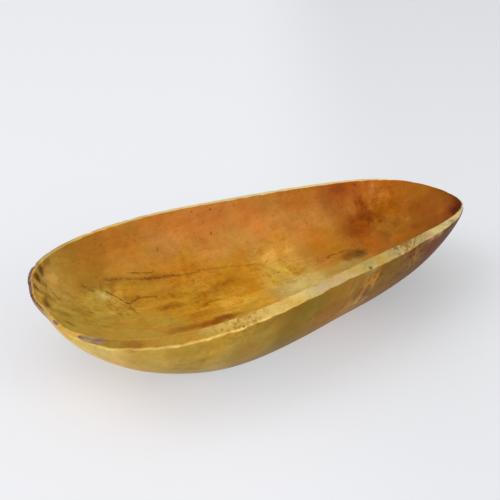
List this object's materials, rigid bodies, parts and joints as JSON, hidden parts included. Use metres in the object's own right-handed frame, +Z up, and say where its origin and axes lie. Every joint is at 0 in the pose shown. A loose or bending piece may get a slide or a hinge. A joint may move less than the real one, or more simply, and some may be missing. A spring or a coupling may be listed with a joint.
{
  "type": "carved wooden bowl",
  "caption": "Long egg-shaped bowl carved from one half log, with a flat foot and a sloping rim, for bread dough, fruit or display.",
  "frame": {"origin": "on the surface the bowl stands on, below the middle of its length and breadth", "axes": "+Z up out of the hollow, +X along the bowl towards its narrow end, +Y towards the back rim"},
  "size_m": [0.5999, 0.3254, 0.1111],
  "materials": {
    "bowl_wood": "waxed satin, golden heartwood with a pale sapwood rim",
    "bark": "dull purple-brown inner bark",
    "brown_knot": "satin dark brown knot",
    "pink_plug": "dull purple-pink",
    "dark_knot": "satin ringed knot with a dark edge",
    "red_knot": "satin reddish knot"
  },
  "bodies": {
    "root": {"bowl_body": "bowl_wood", "bark_strip": "bark", "rim_knot": "brown_knot", "rim_plug": "pink_plug", "floor_knot": "dark_knot", "side_knot": "red_knot"}
  },
  "joints": []
}
